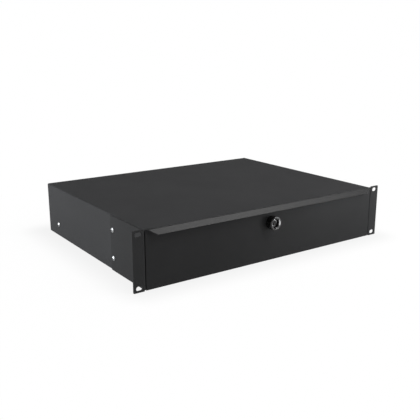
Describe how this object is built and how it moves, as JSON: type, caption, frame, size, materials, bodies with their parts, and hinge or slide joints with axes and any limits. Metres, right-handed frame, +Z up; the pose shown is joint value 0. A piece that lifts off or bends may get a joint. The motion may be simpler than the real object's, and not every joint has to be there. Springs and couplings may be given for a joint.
{
  "type": "rack keyboard drawer",
  "caption": "Lockable steel drawer for a server rack: a folded case with slotted ears, and a drawer with a pull lip and a cam lock on ball bearing slides.",
  "frame": {"origin": "centre of the four rack slots, on the rear face of the ears, midway between their ends", "axes": "+X to the right as seen from the front, +Y into the rack, +Z up"},
  "size_m": [0.4826, 0.3627, 0.0882],
  "materials": {
    "powder_coat": "fine matte black powder coat",
    "front_coat": "fine matte black powder coat",
    "zinc_screws": "bright zinc plated",
    "slide_steel": "bright zinc plated strip",
    "ball_steel": "polished",
    "black_rubber": "matte",
    "black_plastic": "matte",
    "lock_black": "satin black",
    "lock_metal": "dark polished"
  },
  "bodies": {
    "case": {"case_shell": "powder_coat", "base_plate": "powder_coat", "rear_panel": "powder_coat", "case_cable_edging": "black_rubber", "ear_bracket_left": "powder_coat", "ear_bracket_right": "powder_coat", "side_screws_left": "zinc_screws", "side_screws_right": "zinc_screws", "bracket_nuts": "zinc_screws", "lock_strike": "powder_coat", "slide_outer_left": "slide_steel", "slide_outer_right": "slide_steel", "slide_bumpers": "black_rubber"},
    "drawer": {"drawer_tray": "powder_coat", "tray_front_wall": "powder_coat", "tray_back_wall": "powder_coat", "drawer_front": "front_coat", "front_nuts": "zinc_screws", "tray_cable_edging": "black_rubber", "tray_screws_left": "zinc_screws", "tray_screws_right": "zinc_screws", "slide_inner_left": "slide_steel", "slide_inner_right": "slide_steel", "lever_pins": "slide_steel", "lock_housing": "lock_black", "lock_nut": "zinc_screws"},
    "lock": {"lock_plug": "lock_metal", "lock_cam": "zinc_screws", "cam_screw": "zinc_screws"},
    "middle_left": {"slide_middle_left": "slide_steel"},
    "outer_cage_left": {"ball_cage_outer_left": "slide_steel", "balls_outer_left": "ball_steel"},
    "inner_cage_left": {"ball_cage_inner_left": "slide_steel", "balls_inner_left": "ball_steel"},
    "lever_left": {"release_lever_left": "black_plastic"},
    "middle_right": {"slide_middle_right": "slide_steel"},
    "outer_cage_right": {"ball_cage_outer_right": "slide_steel", "balls_outer_right": "ball_steel"},
    "inner_cage_right": {"ball_cage_inner_right": "slide_steel", "balls_inner_right": "ball_steel"},
    "lever_right": {"release_lever_right": "black_plastic"}
  },
  "joints": [
    {"name": "drawer_slide", "type": "slide", "parent": "case", "child": "drawer", "axis": [0, -1, 0], "range_m": [0, 0.28]},
    {"name": "lock_turn", "type": "hinge", "parent": "drawer", "child": "lock", "pos_m": [0, 0.017, 0.01745], "axis": [0, -1, 0], "range_deg": [0, 90]},
    {"name": "middle_left_slide", "type": "slide", "parent": "case", "child": "middle_left", "axis": [0, -1, 0], "range_m": [0, 0.14]},
    {"name": "outer_cage_left_slide", "type": "slide", "parent": "case", "child": "outer_cage_left", "axis": [0, -1, 0], "range_m": [0, 0.07]},
    {"name": "inner_cage_left_slide", "type": "slide", "parent": "case", "child": "inner_cage_left", "axis": [0, -1, 0], "range_m": [0, 0.21]},
    {"name": "release_lever_left_tilt", "type": "hinge", "parent": "drawer", "child": "lever_left", "pos_m": [-0.212, 0.197, -0.02255], "axis": [-1, 0, 0], "range_deg": [0, 8], "stiffness_Nm_per_rad": 0.02, "springref_deg": -2.86},
    {"name": "middle_right_slide", "type": "slide", "parent": "case", "child": "middle_right", "axis": [0, -1, 0], "range_m": [0, 0.14]},
    {"name": "outer_cage_right_slide", "type": "slide", "parent": "case", "child": "outer_cage_right", "axis": [0, -1, 0], "range_m": [0, 0.07]},
    {"name": "inner_cage_right_slide", "type": "slide", "parent": "case", "child": "inner_cage_right", "axis": [0, -1, 0], "range_m": [0, 0.21]},
    {"name": "release_lever_right_tilt", "type": "hinge", "parent": "drawer", "child": "lever_right", "pos_m": [0.212, 0.197, -0.02255], "axis": [-1, 0, 0], "range_deg": [0, 8], "stiffness_Nm_per_rad": 0.02, "springref_deg": -2.86}
  ],
  "couplings": [
    {"joint": "middle_left_slide", "follows": "drawer_slide", "ratio": 0.5},
    {"joint": "outer_cage_left_slide", "follows": "drawer_slide", "ratio": 0.25},
    {"joint": "inner_cage_left_slide", "follows": "drawer_slide", "ratio": 0.75},
    {"joint": "middle_right_slide", "follows": "drawer_slide", "ratio": 0.5},
    {"joint": "outer_cage_right_slide", "follows": "drawer_slide", "ratio": 0.25},
    {"joint": "inner_cage_right_slide", "follows": "drawer_slide", "ratio": 0.75}
  ]
}
